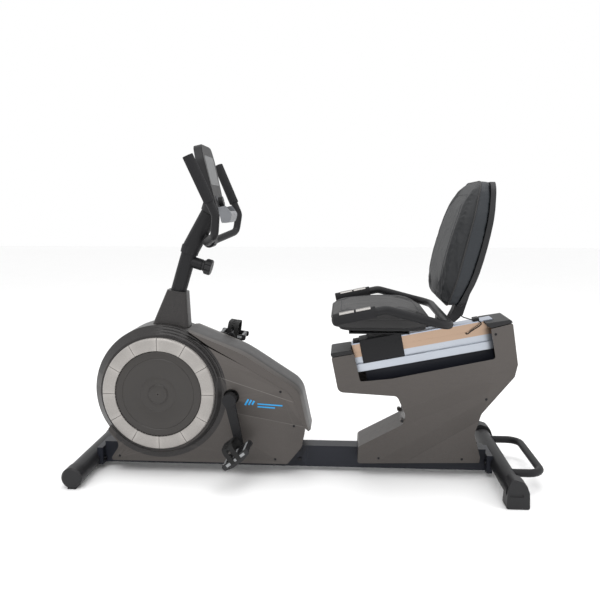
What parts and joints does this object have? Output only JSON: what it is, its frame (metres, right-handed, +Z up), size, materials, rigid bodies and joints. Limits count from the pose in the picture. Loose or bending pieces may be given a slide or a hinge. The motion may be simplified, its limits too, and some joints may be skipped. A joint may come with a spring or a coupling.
{
  "type": "recumbent exercise bike",
  "caption": "Step-through recumbent exercise bike: disc drive housing, console mast with handlebars, and a padded backrest seat on a sloping rail.",
  "frame": {"origin": "centre of the bounding box at floor level, z = 0 on the floor under the pads and feet", "axes": "+X to the rear of the bike, +Y to the rider's right, +Z up"},
  "size_m": [1.6, 0.6, 1.1358],
  "materials": {
    "frame_paint": "semi-gloss dark blue-black powder coat",
    "black_metal": "matte black powder coat",
    "screw_steel": "blackened steel",
    "charcoal_metal": "satin charcoal powder coat",
    "dark_plastic": "fine-grained charcoal moulding",
    "bronze_plastic": "metallic bronze-grey moulding with a light grain",
    "disc_plastic": "dark brown-black moulding, semi-gloss",
    "trim_silver": "silver-beige paint on a moulded ring",
    "rail_aluminium": "polished extrusion",
    "bearing_steel": "ground steel",
    "wheel_rubber": "moulded rubber",
    "belt_rubber": "ribbed rubber belt",
    "flywheel_iron": "machined cast iron with an aluminium eddy rim",
    "pulley_plastic": "glass-filled moulding",
    "strap_rubber": "soft perforated strap",
    "grip_foam": "textured foam sleeve",
    "console_grey": "light grey satin moulding",
    "console_glass": "dark display window",
    "button_rubber": "silicone key cap",
    "seat_vinyl": "charcoal vinyl with piping and stitched seams",
    "back_vinyl": "slate-black vinyl with a blue-grey side band",
    "pulse_chrome": "polished contact plates",
    "cable_sheath": "round black sheath"
  },
  "bodies": {
    "frame": {"front_frame": "frame_paint", "rear_frame": "frame_paint", "frame_bolts": "screw_steel", "front_stabilizer": "charcoal_metal", "front_caps": "dark_plastic", "rear_stabilizer": "black_metal", "rear_feet": "dark_plastic", "lift_handle": "black_metal", "seat_rail": "rail_aluminium", "rail_stops": "dark_plastic", "rear_shroud_left": "bronze_plastic", "rear_shroud_right": "bronze_plastic", "rear_shroud_caps": "dark_plastic", "shroud_screws": "screw_steel", "front_shroud_left": "bronze_plastic", "front_shroud_right": "bronze_plastic", "front_shroud_band": "dark_plastic", "disc_covers": "disc_plastic", "trim_rings": "trim_silver", "mast_boot": "dark_plastic", "mast_post": "black_metal", "shaft_bearings": "bearing_steel", "tension_motor": "dark_plastic", "drive_belt": "belt_rubber", "sensor_cable": "cable_sheath"},
    "wheel_left": {"transport_wheel_left": "wheel_rubber"},
    "wheel_right": {"transport_wheel_right": "wheel_rubber"},
    "magnet": {"magnet_arm": "black_metal"},
    "flywheel_set": {"flywheel": "flywheel_iron", "flywheel_axle": "bearing_steel"},
    "crankset": {"crank_axle": "bearing_steel", "drive_pulley": "pulley_plastic", "crank_left": "black_metal", "crank_right": "black_metal"},
    "pedal_left_body": {"pedal_left": "dark_plastic", "pedal_strap_left": "strap_rubber"},
    "pedal_right_body": {"pedal_right": "dark_plastic", "pedal_strap_right": "strap_rubber"},
    "mast": {"mast_column": "black_metal", "handlebar": "black_metal", "handlebar_clamp": "black_metal", "handlebar_grips": "grip_foam", "console_housing": "dark_plastic", "console_face": "dark_plastic", "console_screen": "console_glass", "console_tray": "console_grey"},
    "dial": {"console_dial": "dark_plastic"},
    "button_left": {"console_button_left": "button_rubber"},
    "button_right": {"console_button_right": "button_rubber"},
    "knob": {"mast_knob": "dark_plastic"},
    "carriage": {"carriage": "black_metal", "carriage_glides": "dark_plastic", "seat_frame": "black_metal", "seat_pan": "dark_plastic", "seat_cushion": "seat_vinyl", "back_shell": "dark_plastic", "back_cushion": "back_vinyl", "seat_grips": "grip_foam", "pulse_plates": "pulse_chrome"},
    "lever": {"seat_lever": "black_metal"}
  },
  "joints": [
    {"name": "crank_spin", "type": "hinge", "parent": "frame", "child": "crankset", "pos_m": [-0.25, 0, 0.284], "axis": [0, 1, 0], "continuous": true},
    {"name": "flywheel_spin", "type": "hinge", "parent": "frame", "child": "flywheel_set", "pos_m": [-0.498, 0, 0.296], "axis": [0, 1, 0], "continuous": true},
    {"name": "pedal_left_spin", "type": "hinge", "parent": "crankset", "child": "pedal_left_body", "pos_m": [-0.2138, -0.2, 0.1179], "axis": [0, 1, 0], "continuous": true},
    {"name": "pedal_right_spin", "type": "hinge", "parent": "crankset", "child": "pedal_right_body", "pos_m": [-0.2862, 0.2, 0.4501], "axis": [0, 1, 0], "continuous": true},
    {"name": "wheel_left_spin", "type": "hinge", "parent": "frame", "child": "wheel_left", "pos_m": [-0.78, -0.214, 0.025], "axis": [0, 1, 0], "continuous": true},
    {"name": "wheel_right_spin", "type": "hinge", "parent": "frame", "child": "wheel_right", "pos_m": [-0.78, 0.214, 0.025], "axis": [0, 1, 0], "continuous": true},
    {"name": "magnet_swing", "type": "hinge", "parent": "frame", "child": "magnet", "pos_m": [-0.54588, 0, 0.16444], "axis": [0, -1, 0], "range_deg": [0, 8]},
    {"name": "mast_slide", "type": "slide", "parent": "frame", "child": "mast", "axis": [0.2924, 0, 0.9563], "range_m": [0, 0.08]},
    {"name": "knob_turn", "type": "hinge", "parent": "frame", "child": "knob", "pos_m": [-0.4142, 0, 0.7453], "axis": [0.9563, 0, -0.2924], "range_deg": [0, 270]},
    {"name": "dial_turn", "type": "hinge", "parent": "mast", "child": "dial", "pos_m": [-0.29872, 0, 0.94586], "axis": [0.9744, 0, 0.225], "continuous": true},
    {"name": "button_left_press", "type": "slide", "parent": "mast", "child": "button_left", "axis": [-0.9744, 0, -0.225], "range_m": [0, 0.0015], "stiffness_N_per_m": 800},
    {"name": "button_right_press", "type": "slide", "parent": "mast", "child": "button_right", "axis": [-0.9744, 0, -0.225], "range_m": [0, 0.0015], "stiffness_N_per_m": 800},
    {"name": "seat_slide", "type": "slide", "parent": "frame", "child": "carriage", "axis": [0.981, 0, 0.1942], "range_m": [0, 0.25], "deforming": ["sensor_cable"]},
    {"name": "seat_lever_lift", "type": "hinge", "parent": "carriage", "child": "lever", "pos_m": [0.316, 0, 0.5035], "axis": [0, 1, 0], "range_deg": [0, 15], "stiffness_Nm_per_rad": 2, "springref_deg": -11.46}
  ],
  "couplings": [
    {"joint": "flywheel_spin", "follows": "crank_spin", "ratio": 7}
  ]
}
